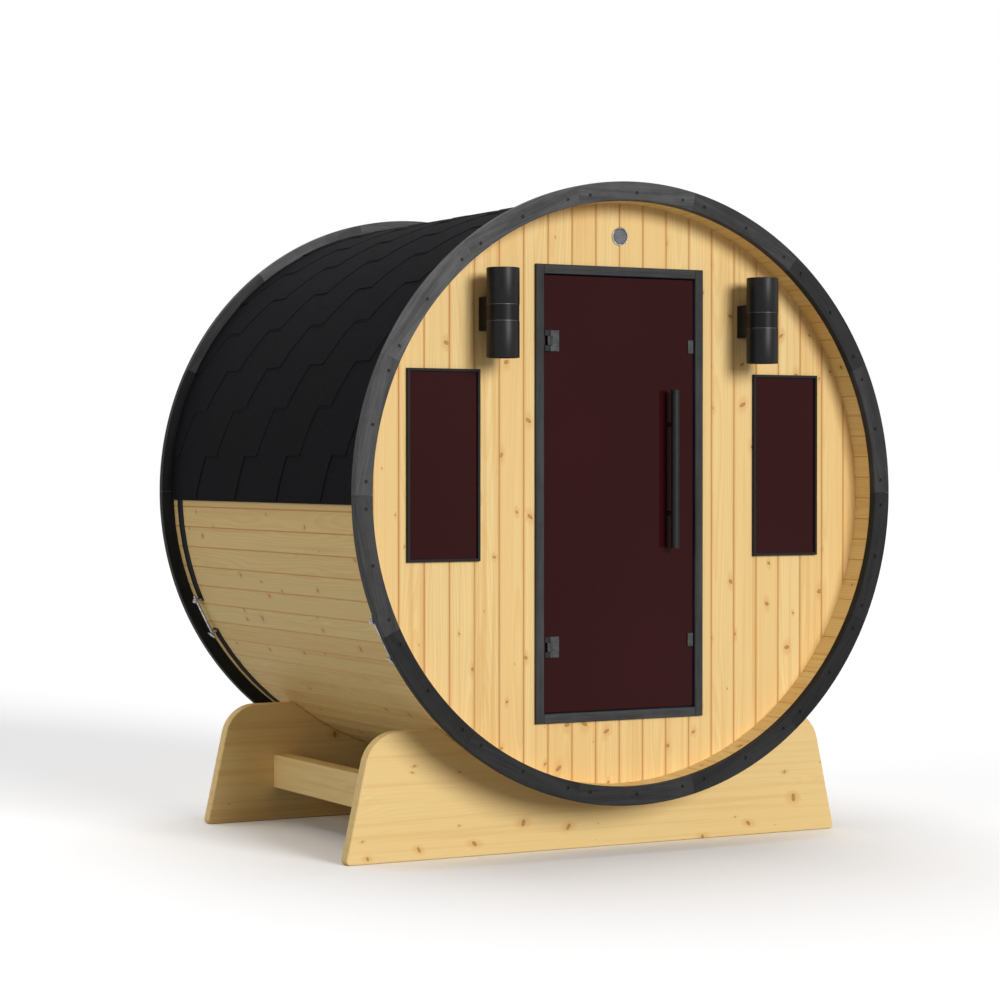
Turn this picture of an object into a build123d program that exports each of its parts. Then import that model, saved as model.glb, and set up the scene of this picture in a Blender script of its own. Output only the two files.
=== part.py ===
from build123d import *
from math import asin, cos, degrees, pi, radians, sin, sqrt
import os

# A barrel sauna: a horizontal drum of wooden staves between two stained end rings, held by
# steel straps, roofed with shingles and resting on two shaped cradles.
# Millimetres. X runs to the right seen from the front, Y to the back, Z up.
# The origin is on the ground, in the middle of the overall width and depth.
# Depths are counted from the front face of the front ring, heights from the drum's axis.

# Drum
barrel_length = 1532.0
ground_gap = 150.5
stave_count = 84
panel_count = 14
stave_turn = 1.0
stave_inner_radius = 892.5
stave_thickness = 16.0
stave_groove_width = 5.0
stave_groove_depth = 4.0

# End rings
ring_segments = 14
ring_face_width = 57.5
ring_thickness = 26.0
ring_joint_width = 1.0

# Hoop straps and their tensioners, on the left side
strap_width = 42.0
strap_thickness = 2.0
strap_setback = 63.0
strap_clearance = 0.4
strap_opening_length = 107.0
tensioner_angle = 207.25
lug_width = 24.0
lug_thickness = 7.0
lug_height = 25.0
lug_setback = 6.4
rod_diameter = 8.0
rod_sides = 12
rod_lift = 17.0
rod_overhang = 19.0
nut_diameter = 15.0
nut_thickness = 7.0

# Roof covering, laid over the straps
roof_thickness = 9.6
roof_edge_drop = 28.5
roof_end_gap = 2.0

# End walls, seated in grooves in the staves
wall_recess = 103.0
wall_thickness = 35.0
croze_depth = 6.0
fit_clearance = 0.3

# Door frame
frame_width = 599.0
frame_end_gap = 195.5
frame_member = 28.5
frame_depth = 62.0
frame_proud = 10.0
rebate_lip = 12.0
rebate_clearance = 9.0

# Door leaf
door_gap = 5.0
glass_thickness = 8.0
glass_setback = 8.5

# Hinges and catches
hinge_height = 64.0
hinge_from_frame_end = 232.0
hinge_arm_reach = 15.0
hinge_arm_relief = 1.0
hinge_pin_diameter = 6.0
hinge_pin_clearance = 0.08
hinge_knuckle_diameter = 11.0
hinge_knuckle_share = 0.44
hinge_knuckle_gap = 0.5
hinge_leaf_thickness = 2.5
hinge_leaf_setback = 2.0
clamp_knuckle_gap = 1.5
clamp_width = 31.0
clamp_thickness = 6.0
catch_width = 20.0
catch_height = 41.0
catch_thickness = 4.0
catch_from_frame_end = 240.0

# Pull handle, one bar on each side of the glass
handle_from_glass_edge = 86.0
handle_diameter = 26.0
handle_bottom = -169.0
handle_top = 321.0
handle_standoff = 35.0
handle_post_diameter = 14.0
handle_post_low = -62.0
handle_post_high = 214.0

# Fixed windows
window_wall_margin = 74.0
window_width = 244.0
window_height = 574.0
window_centre_z = 87.5
window_frame_member = 8.5
window_frame_depth = 55.0
window_frame_proud = 11.0
window_glass_thickness = 6.0
window_glass_setback = 8.0

# Vent over the door, just under the middle of the wall's top piece
vent_diameter = 57.0
vent_drop = 6.5
vent_thickness = 6.0
vent_rim = 4.0
vent_recess = 2.0

# Wall lamps
lamp_from_frame = 162.5
lamp_drum_margin = 47.6
lamp_diameter = 99.0
lamp_length = 267.0
lamp_standoff = 98.0
lamp_wall = 4.0
lamp_end_recess = 14.0
lamp_waist_length = 48.0
lamp_waist_depth = 1.5
bracket_width = 58.0
bracket_height = 102.0

# Floor
floor_below_sill = 15.0
floor_board_thickness = 26.0
floor_board_count = 10
floor_board_gap = 6.0
floor_side_clearance = 6.0
floor_end_clearance = 2.0
bearer_count = 3
bearer_thickness = 45.0
bearer_inset = 60.0

# Cradles
front_cradle_setback = 206.0
back_cradle_setback = 218.0
cradle_thickness = 42.0
cradle_hug = 198.5
cradle_horn_width = 229.0
cradle_taper = 86.0
cradle_top_fillet = 115.0
cradle_base_fillet = 12.0
beam_from_foot_end = 269.0
beam_width = 65.0
beam_height = 110.0
beam_ground_gap = 109.0

# Sizes worked out from the ones above
full_turn = 360.0
stave_pitch = full_turn / stave_count
stave_outer_radius = stave_inner_radius + stave_thickness
stave_inner_apothem = stave_inner_radius * cos(pi / stave_count)
stave_outer_apothem = stave_outer_radius * cos(pi / stave_count)
ring_outer_radius = stave_inner_radius + ring_face_width
axis_height = ring_outer_radius + ground_gap
strap_inner_apothem = stave_outer_apothem + fit_clearance
strap_outer_apothem = strap_inner_apothem + strap_thickness
strap_outer_radius = strap_outer_apothem / cos(pi / stave_count)
roof_inner_radius = strap_outer_radius + strap_clearance
roof_outer_radius = roof_inner_radius + roof_thickness
wall_radius = stave_inner_radius + croze_depth - fit_clearance
wall_back_depth = wall_recess + wall_thickness
frame_front_depth = wall_recess - frame_proud
frame_back_depth = frame_front_depth + frame_depth
glass_front_depth = frame_front_depth + glass_setback
glass_back_depth = glass_front_depth + glass_thickness
lip_depth = glass_back_depth + rebate_clearance
frame_height = 2 * (stave_inner_radius - frame_end_gap)
opening_half_width = frame_width / 2 - frame_member
opening_half_height = frame_height / 2 - frame_member
glass_half_width = opening_half_width - door_gap
glass_half_height = opening_half_height - door_gap
hinge_offset_z = frame_height / 2 - hinge_from_frame_end
catch_offset_z = frame_height / 2 - catch_from_frame_end
handle_x = glass_half_width - handle_from_glass_edge
vent_height = (frame_height / 2 + wall_radius) / 2 - vent_drop
window_top = window_centre_z + window_height / 2
window_x = sqrt((wall_radius - window_wall_margin) ** 2 - window_top ** 2) - window_width / 2
lamp_x = frame_width / 2 + lamp_from_frame
lamp_top = sqrt((stave_inner_radius - lamp_drum_margin) ** 2 - (lamp_x + lamp_diameter / 2) ** 2)
lamp_height = lamp_top - lamp_length / 2
floor_top = -opening_half_height - floor_below_sill
floor_underside = floor_top - floor_board_thickness
lamp_front_depth = wall_recess - lamp_standoff - lamp_diameter / 2
front_reach = min(0.0, lamp_front_depth)
front_y = -(barrel_length - front_reach) / 2 - front_reach
hinge_pivot_x = -opening_half_width + hinge_arm_reach
hinge_pivot_depth = glass_front_depth - clamp_thickness
hinge_arm_half = hinge_knuckle_diameter / 2 - hinge_arm_relief
clamp_start_x = hinge_pivot_x + hinge_knuckle_diameter / 2 + clamp_knuckle_gap
back_cradle_depth = barrel_length - back_cradle_setback - cradle_thickness
cradle_top = stave_outer_radius - cradle_hug
cradle_half_top = sqrt(stave_outer_radius ** 2 - cradle_top ** 2) + cradle_horn_width
cradle_half_base = cradle_half_top + cradle_taper


def at_depth(depth):
    return front_y + depth


def polar(radius, angle):
    return (radius * cos(radians(angle)), radius * sin(radians(angle)))


def front_plane(depth):
    return Plane(origin=(0, at_depth(depth), axis_height), x_dir=(1, 0, 0), z_dir=(0, -1, 0))


def prism(outline, front, back):
    """Push an outline drawn in X and height through the drum, between two depths."""
    return extrude(front_plane(front) * outline, amount=back - front, dir=(0, 1, 0))


def block(x_low, x_high, front, back, z_low, z_high):
    outline = Pos((x_low + x_high) / 2, (z_low + z_high) / 2) * Rectangle(x_high - x_low, z_high - z_low)
    return prism(outline, front, back)


def band(inner, outer, start, end):
    """A piece of a flat ring between two angles, counted from the right, anticlockwise."""
    edges = [
        CenterArc((0, 0), outer, start, end - start),
        Line(polar(outer, end), polar(inner, end)),
        CenterArc((0, 0), inner, start, end - start),
        Line(polar(inner, start), polar(outer, start)),
    ]
    return Face(Wire(edges))


def save(name, *solids):
    shape = solids[0] if len(solids) == 1 else Compound(children=list(solids))
    shape.label = name
    export_step(shape, os.path.join("parts", name + ".step"))


def stave_ring(apothem):
    """A regular outline with one flat side on each stave."""
    return RegularPolygon(apothem, stave_count, major_radius=False, rotation=stave_turn + stave_pitch / 2)


# Staves. A panel is a run of flat staves with V grooves between them on the outside, and a
# groove across its inner face near each end that holds the end wall.
def stave_outline(first, count):
    half_groove = degrees(stave_groove_width / 2 / stave_outer_radius)
    groove_floor = stave_outer_radius - stave_groove_depth
    edges = [stave_turn + (index - 0.5) * stave_pitch for index in range(first, first + count + 1)]
    inside = [polar(stave_inner_radius, edge) for edge in edges]
    outside = [polar(groove_floor, edges[0])]
    for low, high in zip(edges, edges[1:]):
        outside += [polar(stave_outer_radius, low + half_groove), polar(stave_outer_radius, high - half_groove)]
        outside.append(polar(groove_floor, high))
    return make_face(Polyline(*outside, *reversed(inside), close=True))


def build_stave_panels():
    per_panel = stave_count // panel_count
    croze = stave_ring(stave_inner_radius + croze_depth) - Circle(stave_inner_radius - croze_depth)
    front_croze = prism(croze, wall_recess - fit_clearance, wall_back_depth + fit_clearance)
    back_croze = prism(
        croze,
        barrel_length - wall_back_depth - fit_clearance,
        barrel_length - wall_recess + fit_clearance,
    )
    for index in range(panel_count):
        outline = stave_outline(index * per_panel, per_panel)
        panel = prism(outline, ring_thickness, barrel_length - ring_thickness)
        save(f"stave_panel_{index + 1:02d}", panel - front_croze - back_croze)


# End rings of bowed segments, butted with a thin joint
def ring_solids(front):
    pitch = full_turn / ring_segments
    half_joint = degrees(ring_joint_width / 2 / ring_outer_radius)
    for index in range(ring_segments):
        start = index * pitch + half_joint
        end = (index + 1) * pitch - half_joint
        yield prism(band(stave_inner_radius, ring_outer_radius, start, end), front, front + ring_thickness)


# Straps lie flat on the staves and stop short of each other at the tensioner
def strap_solid(front):
    gap_half = degrees(strap_opening_length / 2 / strap_outer_radius)
    gap = band(stave_inner_radius, ring_outer_radius, tensioner_angle - gap_half, tensioner_angle + gap_half)
    outline = stave_ring(strap_outer_apothem) - stave_ring(strap_inner_apothem) - gap
    return prism(outline, front, front + strap_width)


def tensioner_solid(front):
    middle = front + strap_width / 2
    rod_radius = strap_outer_radius + rod_lift
    lug_half = degrees(lug_thickness / 2 / strap_outer_radius)
    overhang = degrees(rod_overhang / rod_radius)
    lug_angles = (
        tensioner_angle - degrees((strap_opening_length / 2 + lug_setback) / strap_outer_radius),
        tensioner_angle + degrees((strap_opening_length / 2 + lug_setback) / strap_outer_radius),
    )

    def rod_point(angle):
        x, z = polar(rod_radius, angle)
        return (x, at_depth(middle), axis_height + z)

    start = rod_point(lug_angles[0] - overhang)
    end = rod_point(lug_angles[1] + overhang)
    along = (Vector(*end) - Vector(*start)).normalized()
    rod = Plane(origin=start, z_dir=along) * RegularPolygon(rod_diameter / 2, rod_sides)
    solid = extrude(rod, amount=(Vector(*end) - Vector(*start)).length)
    for angle, outward in ((lug_angles[0], -1), (lug_angles[1], 1)):
        outline = band(strap_outer_radius, strap_outer_radius + lug_height, angle - lug_half, angle + lug_half)
        solid += prism(outline, middle - lug_width / 2, middle + lug_width / 2)
        seat = Vector(*rod_point(angle)) + along * (outward * lug_thickness / 2)
        nut = Plane(origin=seat, z_dir=along * outward) * RegularPolygon(nut_diameter / 2, 6)
        solid += extrude(nut, amount=nut_thickness)
    return solid


# Roof covering from just under the drum's widest line on one side to the same on the other
def roof_solid():
    below = degrees(asin(roof_edge_drop / roof_outer_radius))
    return prism(
        band(roof_inner_radius, roof_outer_radius, -below, full_turn / 2 + below),
        ring_thickness + roof_end_gap,
        barrel_length - ring_thickness - roof_end_gap,
    )


# Front wall in four pieces round the doorway, with a cut-out for each window
def build_walls():
    disc = Circle(wall_radius)
    half_width = frame_width / 2
    half_height = frame_height / 2
    side_span = wall_radius - half_width
    for side, name in ((-1, "left"), (1, "right")):
        flank = Pos(side * (half_width + side_span / 2), 0) * Rectangle(side_span, 2 * wall_radius)
        window = Pos(side * window_x, window_centre_z) * Rectangle(window_width, window_height)
        save(f"front_wall_{name}", prism((disc & flank) - window, wall_recess, wall_back_depth))
    rise = wall_radius - half_height
    for side, name in ((-1, "bottom"), (1, "top")):
        infill = Pos(0, side * (half_height + rise / 2)) * Rectangle(frame_width, rise)
        save(f"front_wall_{name}", prism(disc & infill, wall_recess, wall_back_depth))
    save("back_wall", prism(disc, barrel_length - wall_back_depth, barrel_length - wall_recess))


# Door frame: rebated bars, jambs at full height with the head and sill between them
def build_door_frame():
    lip_half_width = opening_half_width - rebate_lip
    lip_half_height = opening_half_height - rebate_lip
    for side, name in ((-1, "left"), (1, "right")):
        low, high = sorted((side * opening_half_width, side * frame_width / 2))
        lip_low, lip_high = sorted((side * lip_half_width, side * opening_half_width))
        half_height = frame_height / 2
        jamb = block(low, high, frame_front_depth, frame_back_depth, -half_height, half_height)
        jamb += block(lip_low, lip_high, lip_depth, frame_back_depth, -opening_half_height, opening_half_height)
        save(f"door_jamb_{name}", jamb)
    for side, name in ((-1, "sill"), (1, "head")):
        low, high = sorted((side * opening_half_height, side * frame_height / 2))
        lip_low, lip_high = sorted((side * lip_half_height, side * opening_half_height))
        rail = block(-opening_half_width, opening_half_width, frame_front_depth, frame_back_depth, low, high)
        rail += block(-lip_half_width, lip_half_width, lip_depth, frame_back_depth, lip_low, lip_high)
        save(f"door_{name}", rail)


# Door leaf of plain glass, bored for the two handle posts
def door_glass():
    leaf = Rectangle(2 * glass_half_width, 2 * glass_half_height)
    for z in (handle_post_low, handle_post_high):
        leaf -= Pos(handle_x, z) * Circle(handle_post_diameter / 2 + fit_clearance)
    return prism(leaf, glass_front_depth, glass_back_depth)


# Hinges: a leaf and two knuckles with the pin on the jamb, a clamp and one knuckle on the glass
def upright(x, depth, diameter, z_low, z_high):
    base = Plane(origin=(x, at_depth(depth), axis_height + z_low), z_dir=(0, 0, 1))
    return extrude(base * Circle(diameter / 2), amount=z_high - z_low)


def hinge_leaf(centre):
    half = hinge_height / 2
    inner = hinge_height * hinge_knuckle_share / 2 + hinge_knuckle_gap
    front = frame_front_depth + hinge_leaf_setback
    leaf = block(
        -opening_half_width, -opening_half_width + hinge_leaf_thickness,
        front, lip_depth - hinge_leaf_setback,
        centre - half, centre + half,
    )
    for low, high in ((-half, -inner), (inner, half)):
        leaf += block(
            -opening_half_width, hinge_pivot_x,
            hinge_pivot_depth - hinge_arm_half, hinge_pivot_depth + hinge_arm_half,
            centre + low, centre + high,
        )
        leaf += upright(hinge_pivot_x, hinge_pivot_depth, hinge_knuckle_diameter, centre + low, centre + high)
    return leaf + upright(hinge_pivot_x, hinge_pivot_depth, hinge_pin_diameter, centre - half, centre + half)


def clamp_front(centre):
    half = hinge_height / 2
    knuckle_half = hinge_height * hinge_knuckle_share / 2
    plate = block(
        clamp_start_x, clamp_start_x + clamp_width,
        glass_front_depth - clamp_thickness, glass_front_depth,
        centre - half, centre + half,
    )
    plate += upright(
        hinge_pivot_x, hinge_pivot_depth, hinge_knuckle_diameter, centre - knuckle_half, centre + knuckle_half
    )
    plate += block(
        hinge_pivot_x, clamp_start_x + clamp_thickness,
        hinge_pivot_depth - hinge_arm_half, hinge_pivot_depth + hinge_arm_half,
        centre - knuckle_half, centre + knuckle_half,
    )
    bore = hinge_pin_diameter + 2 * hinge_pin_clearance
    return plate - upright(hinge_pivot_x, hinge_pivot_depth, bore, centre - half, centre + half)


def clamp_back(centre):
    half = hinge_height / 2
    return block(
        clamp_start_x, clamp_start_x + clamp_width,
        glass_back_depth, glass_back_depth + clamp_thickness,
        centre - half, centre + half,
    )


def catch_plates():
    high_x = glass_half_width
    for centre in (-catch_offset_z, catch_offset_z):
        low_z = centre - catch_height / 2
        high_z = centre + catch_height / 2
        front = glass_front_depth - catch_thickness
        yield block(high_x - catch_width, high_x, front, glass_front_depth, low_z, high_z)
        back = glass_back_depth + catch_thickness
        yield block(high_x - catch_width, high_x, glass_back_depth, back, low_z, high_z)


# Handle: a bar on each face of the glass, joined by two posts through it
def pull_handle():
    outer_depth = glass_front_depth - handle_standoff
    inner_depth = glass_back_depth + handle_standoff
    handle = upright(handle_x, outer_depth, handle_diameter, handle_bottom, handle_top)
    handle += upright(handle_x, inner_depth, handle_diameter, handle_bottom, handle_top)
    for z in (handle_post_low, handle_post_high):
        handle += prism(Pos(handle_x, z) * Circle(handle_post_diameter / 2), outer_depth, inner_depth)
    return handle


# Windows: a slim frame through the wall and a fixed pane
def build_windows():
    front = wall_recess - window_frame_proud
    pane_front = front + window_glass_setback
    for side, name in ((-1, "left"), (1, "right")):
        place = Pos(side * window_x, window_centre_z)
        pane_width = window_width - 2 * window_frame_member
        pane_height = window_height - 2 * window_frame_member
        frame = place * Rectangle(window_width, window_height) - place * Rectangle(pane_width, pane_height)
        save(f"window_frame_{name}", prism(frame, front, front + window_frame_depth))
        pane = prism(place * Rectangle(pane_width, pane_height), pane_front, pane_front + window_glass_thickness)
        save(f"window_glass_{name}", pane)


# Vent: a disc with a raised rim
def vent_grille():
    place = Pos(0, vent_height)
    disc = prism(place * Circle(vent_diameter / 2), wall_recess - vent_thickness, wall_recess)
    face = place * Circle(vent_diameter / 2 - vent_rim)
    return disc - prism(face, wall_recess - vent_thickness, wall_recess - vent_thickness + vent_recess)


# Lamps: an upright can with recessed ends and a shallow waist, on a square bracket
def lamp_solid(side):
    radius = lamp_diameter / 2
    half = lamp_length / 2
    mouth = radius - lamp_wall
    waist = radius - lamp_waist_depth
    upper = [
        (waist, lamp_waist_length / 2), (radius, lamp_waist_length / 2),
        (radius, half), (mouth, half), (mouth, half - lamp_end_recess), (0, half - lamp_end_recess),
    ]
    lower = [(x, -z) for x, z in reversed(upper)]
    profile = make_face(Polyline(*lower, *upper, close=True))
    can = revolve(Plane.XZ * profile, axis=Axis.Z)
    axis_y = at_depth(wall_recess - lamp_standoff)
    lamp = Pos(side * lamp_x, axis_y, axis_height + lamp_height) * can
    lamp += block(
        side * lamp_x - bracket_width / 2, side * lamp_x + bracket_width / 2,
        wall_recess - lamp_standoff, wall_recess,
        lamp_height - bracket_height / 2, lamp_height + bracket_height / 2,
    )
    return lamp


# Floor: spaced boards along the drum on bearers cut to its curve
def floor_boards():
    half_span = sqrt(stave_inner_radius ** 2 - floor_underside ** 2) - floor_side_clearance
    width = (2 * half_span - (floor_board_count - 1) * floor_board_gap) / floor_board_count
    front = frame_back_depth + floor_end_clearance
    back = barrel_length - wall_back_depth - floor_end_clearance
    for index in range(floor_board_count):
        low = -half_span + index * (width + floor_board_gap)
        yield block(low, low + width, front, back, floor_underside, floor_top)


def floor_bearers():
    segment = Circle(stave_inner_apothem - fit_clearance)
    segment &= Pos(0, floor_underside - stave_inner_radius) * Rectangle(
        2 * stave_inner_radius, 2 * stave_inner_radius
    )
    first = wall_back_depth + bearer_inset
    last = barrel_length - wall_back_depth - bearer_inset - bearer_thickness
    for index in range(bearer_count):
        front = first + (last - first) * index / (bearer_count - 1)
        yield prism(segment, front, front + bearer_thickness)


# Cradles: tapered boards with rounded shoulders and a seat cut to the drum
def cradle_solid(front):
    board = make_face(Polyline(
        (-cradle_half_base, -axis_height),
        (cradle_half_base, -axis_height),
        (cradle_half_top, -cradle_top),
        (-cradle_half_top, -cradle_top),
        close=True,
    ))
    corners = board.vertices().sort_by(Axis.Y)
    board = fillet(corners[-2:], cradle_top_fillet)
    corners = board.vertices().sort_by(Axis.Y)
    board = fillet(corners[:2], cradle_base_fillet)
    board -= Circle(stave_outer_radius + fit_clearance)
    return prism(board, front, front + cradle_thickness)


def cradle_beams():
    low = beam_ground_gap - axis_height
    for side in (-1, 1):
        centre = side * (cradle_half_base - beam_from_foot_end)
        yield block(
            centre - beam_width / 2, centre + beam_width / 2,
            front_cradle_setback + cradle_thickness, back_cradle_depth,
            low, low + beam_height,
        )


os.makedirs("parts", exist_ok=True)
strap_fronts = (strap_setback, barrel_length - strap_setback - strap_width)

build_stave_panels()
save("front_ring", *ring_solids(0.0))
save("back_ring", *ring_solids(barrel_length - ring_thickness))
save("front_strap", strap_solid(strap_fronts[0]))
save("back_strap", strap_solid(strap_fronts[1]))
save("strap_tensioners", *[tensioner_solid(front) for front in strap_fronts])
save("roof_shingles", roof_solid())
build_walls()
build_door_frame()
build_windows()
save("vent_grille", vent_grille())
save("lamp_left", lamp_solid(-1))
save("lamp_right", lamp_solid(1))
save("floor_boards", *floor_boards())
save("floor_bearers", *floor_bearers())
save("cradle_front", cradle_solid(front_cradle_setback))
save("cradle_back", cradle_solid(back_cradle_depth))
save("cradle_beams", *cradle_beams())
save("hinge_leaves", *[hinge_leaf(z) for z in (-hinge_offset_z, hinge_offset_z)])
save("door_glass", door_glass())
clamps = [clamp(z) for z in (-hinge_offset_z, hinge_offset_z) for clamp in (clamp_front, clamp_back)]
save("hinge_clamps", *clamps)
save("catch_plates", *catch_plates())
save("pull_handle", pull_handle())
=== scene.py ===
import math
import bmesh
import bpy
import numpy as np
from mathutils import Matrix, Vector


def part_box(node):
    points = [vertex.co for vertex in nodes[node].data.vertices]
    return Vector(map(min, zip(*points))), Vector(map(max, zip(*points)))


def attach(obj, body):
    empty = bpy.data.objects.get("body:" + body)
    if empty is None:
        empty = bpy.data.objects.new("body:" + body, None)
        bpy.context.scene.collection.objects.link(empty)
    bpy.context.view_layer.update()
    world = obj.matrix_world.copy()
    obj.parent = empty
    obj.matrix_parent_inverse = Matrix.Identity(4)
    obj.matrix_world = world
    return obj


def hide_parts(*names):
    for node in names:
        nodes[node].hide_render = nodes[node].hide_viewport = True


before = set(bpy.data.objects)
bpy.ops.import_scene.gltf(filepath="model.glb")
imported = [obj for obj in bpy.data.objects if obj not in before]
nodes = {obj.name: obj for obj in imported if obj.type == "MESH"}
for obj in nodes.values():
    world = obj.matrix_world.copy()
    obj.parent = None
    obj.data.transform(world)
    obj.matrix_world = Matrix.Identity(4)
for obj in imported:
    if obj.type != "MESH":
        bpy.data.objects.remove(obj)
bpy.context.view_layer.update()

scene = bpy.context.scene
print("frame loaded:", len(nodes), "nodes")

# main sizes in metres, read from the frame where it has them
ringWidth = 0.0575  # from the outer edge of a ring to its inner one
staveThickness = 0.016
ringLow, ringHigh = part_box("front_ring")
axisHeight = (ringLow.z + ringHigh.z) / 2
ringOuter = (ringHigh.x - ringLow.x) / 2
frontFace = ringLow.y
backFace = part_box("back_ring")[1].y
drumInner = ringOuter - ringWidth
drumOuter = drumInner + staveThickness
drumCentre = Vector((0, 0, axisHeight))


# a colour picked from a screen, 0 to 255, made linear
def tint(red, green, blue):
    parts = []
    for part in (red / 255, green / 255, blue / 255):
        parts.append(part / 12.92 if part <= 0.04045 else ((part + 0.055) / 1.055) ** 2.4)
    return (*parts, 1.0)


# a socket is linked, anything else is set on the socket
def plug(tree, value, socket):
    if isinstance(value, bpy.types.NodeSocket):
        tree.links.new(value, socket)
    else:
        socket.default_value = value


def add(tree, kind, values=None, **settings):
    node = tree.nodes.new(kind)
    for key, value in settings.items():
        setattr(node, key, value)
    for key, value in (values or {}).items():
        plug(tree, value, node.inputs[key])
    return node


def mathOf(tree, operation, *values):
    return add(tree, "ShaderNodeMath", dict(enumerate(values)), operation=operation).outputs[0]


def vectorOf(tree, operation, *values):
    return add(tree, "ShaderNodeVectorMath", dict(enumerate(values)), operation=operation).outputs[0]


def times(tree, first, second):
    return mathOf(tree, "MULTIPLY", first, second)


# value times factor, plus rest
def scaled(tree, value, factor, rest):
    return mathOf(tree, "MULTIPLY_ADD", value, factor, rest)


# the part of value times factor behind the point, as a fresh number from 0 to 1
def fraction(tree, value, factor):
    return mathOf(tree, "FRACT", times(tree, value, factor))


def lengthOf(tree, first, second):
    return mathOf(tree, "SQRT", mathOf(tree, "ADD", times(tree, first, first), times(tree, second, second)))


def mixOf(tree, factor, first, second):
    node = add(tree, "ShaderNodeMix", {0: factor, 6: first, 7: second}, data_type="RGBA")
    return node.outputs[2]


# colour with a second one laid over it where the mask is 1, as thickly as share says
def glaze(tree, colour, mask, share, second):
    return mixOf(tree, times(tree, mask, share), colour, second)


# from 0 at low to 1 at high with soft ends, or the other way round
def step(tree, value, low, high):
    ends = (1.0, 0.0) if low > high else (0.0, 1.0)
    values = {0: value, 1: min(low, high), 2: max(low, high), 3: ends[0], 4: ends[1]}
    return add(tree, "ShaderNodeMapRange", values, interpolation_type="SMOOTHSTEP").outputs[0]


def noiseOf(tree, vector, detail=2.0, roughness=0.5, scale=1.0):
    values = {"Vector": vector, "Scale": scale, "Detail": detail, "Roughness": roughness}
    return add(tree, "ShaderNodeTexNoise", values).outputs


def streaksOf(tree, vector, stretch, detail=2.0, roughness=0.5):
    return noiseOf(tree, vectorOf(tree, "MULTIPLY", vector, stretch), detail, roughness)[0]


def attributeOf(tree, name, output="Fac"):
    return add(tree, "ShaderNodeAttribute", attribute_name=name).outputs[output]


def placeOf(tree):
    return add(tree, "ShaderNodeTexCoord").outputs["Object"]


def partsOf(tree, colour):
    return add(tree, "ShaderNodeSeparateColor", {0: colour}).outputs


finishes = {}  # every material, by name


def newMaterial(name):
    finishes[name] = bpy.data.materials.new(name)
    finishes[name].use_nodes = True
    tree = finishes[name].node_tree
    return tree, tree.nodes["Principled BSDF"]


def coat(tree, shader, colour, roughness):
    plug(tree, colour, shader.inputs["Base Color"])
    plug(tree, roughness, shader.inputs["Roughness"])


def addBump(tree, shader, height, s):
    values = {"Height": height, "Strength": s["bump"], "Distance": s["relief"]}
    plug(tree, add(tree, "ShaderNodeBump", values).outputs[0], shader.inputs["Normal"])


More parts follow.
